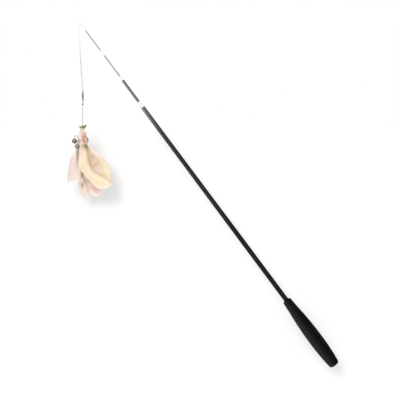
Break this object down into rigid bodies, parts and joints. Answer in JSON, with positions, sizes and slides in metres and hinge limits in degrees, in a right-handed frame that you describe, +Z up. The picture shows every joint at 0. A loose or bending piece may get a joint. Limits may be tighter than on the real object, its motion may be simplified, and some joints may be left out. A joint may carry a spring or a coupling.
{
  "type": "cat teaser wand",
  "caption": "Telescoping cat teaser wand: black soft grip, sliding black sections with bright collars, and a cord with a swivel that carries a lure of gathered sheer petals with small bells.",
  "frame": {"origin": "middle of the grip, on the wand's axis, where a hand holds it", "axes": "+Z up, +X to the right of the picture, so that the wand leans to -X from the upright and its cord hangs along -Z; -Y faces the viewer"},
  "size_m": [0.4072, 0.0442, 0.5197],
  "materials": {
    "grip_foam": "soft matt moulded foam rubber",
    "tube_black": "satin black paint",
    "collar_bright": "bright plated",
    "bush_brass": "drawn brass",
    "plug_black": "moulded",
    "cord_cream": "fine laid cord",
    "swivel_dark": "blackened metal",
    "knot_olive": "tied cloth",
    "collar_cream": "gathered cloth",
    "bud_coral": "wrapped cloth",
    "petal_peach": "sheer dyed cloth",
    "petal_pink": "sheer dyed cloth",
    "petal_yellow": "sheer dyed cloth",
    "petal_rose": "sheer dyed cloth",
    "tail_brown": "thin lace",
    "bell_mauve": "satin lacquer",
    "wire_grey": "bright wire"
  },
  "bodies": {
    "handle": {"grip": "grip_foam", "main_tube": "tube_black", "butt_plug": "plug_black", "main_collar": "collar_bright"},
    "second_section": {"second_tube": "tube_black", "second_bush": "bush_brass", "second_collar": "collar_bright"},
    "third_section": {"third_tube": "tube_black", "third_bush": "bush_brass", "third_collar": "collar_bright"},
    "tip_section": {"tip_rod": "tube_black", "tip_bush": "bush_brass", "tip_eye": "collar_bright"},
    "cord_loop": {"tip_loop": "cord_cream"},
    "line": {"upper_cord": "cord_cream", "swivel_tie_upper": "cord_cream", "swivel_top_eye": "swivel_dark"},
    "swivel": {"swivel_barrel": "swivel_dark"},
    "leader": {"swivel_bottom_eye": "swivel_dark", "swivel_tie_lower": "cord_cream", "lower_cord": "cord_cream", "cord_crimp": "swivel_dark"},
    "lure": {"neck_knot": "knot_olive", "neck_collar": "collar_cream", "bud": "bud_coral", "petal_front": "petal_peach", "petal_left": "petal_pink", "petal_right": "petal_yellow", "petal_back": "petal_rose", "petal_rear_left": "petal_pink", "petal_rear_right": "petal_yellow", "tail": "tail_brown", "bell_pin_large": "wire_grey", "bell_pin_small": "wire_grey"},
    "bell_large": {"bell_large_shell": "bell_mauve", "bell_large_eye": "wire_grey", "bell_large_pea": "wire_grey"},
    "bell_small": {"bell_small_shell": "bell_mauve", "bell_small_eye": "wire_grey", "bell_small_pea": "wire_grey"}
  },
  "joints": [
    {"name": "second_slide", "type": "slide", "parent": "handle", "child": "second_section", "axis": [-0.5976, 0, 0.8018], "range_m": [-0.038, 0.113]},
    {"name": "third_slide", "type": "slide", "parent": "second_section", "child": "third_section", "axis": [-0.5976, 0, 0.8018], "range_m": [-0.037, 0.113]},
    {"name": "tip_slide", "type": "slide", "parent": "third_section", "child": "tip_section", "axis": [-0.5976, 0, 0.8018], "range_m": [-0.0355, 0.113]},
    {"name": "cord_swing", "type": "hinge", "parent": "tip_section", "child": "cord_loop", "pos_m": [-0.34728, 0, 0.46591], "axis": [0, 1, 0], "range_deg": [-10, 75]},
    {"name": "cord_sway", "type": "hinge", "parent": "cord_loop", "child": "line", "pos_m": [-0.34728, 0, 0.46381], "axis": [1, 0, 0], "range_deg": [-60, 60]},
    {"name": "swivel_spin", "type": "hinge", "parent": "line", "child": "swivel", "pos_m": [-0.34188, 0, 0.35829], "axis": [0, 0, 1], "continuous": true},
    {"name": "leader_spin", "type": "hinge", "parent": "swivel", "child": "leader", "pos_m": [-0.34188, 0, 0.35129], "axis": [0, 0, 1], "continuous": true},
    {"name": "lure_tilt", "type": "hinge", "parent": "leader", "child": "lure", "pos_m": [-0.34228, 0, 0.30757], "axis": [0, 1, 0], "range_deg": [-20, 20]},
    {"name": "bell_large_swing", "type": "hinge", "parent": "lure", "child": "bell_large", "pos_m": [-0.35379, -0.00561, 0.29322], "axis": [-0.4384, 0.8988, 0], "range_deg": [-4, 35]},
    {"name": "bell_small_swing", "type": "hinge", "parent": "lure", "child": "bell_small", "pos_m": [-0.34969, -0.01019, 0.28472], "axis": [-0.809, 0.5878, 0], "range_deg": [-10, 35]}
  ]
}
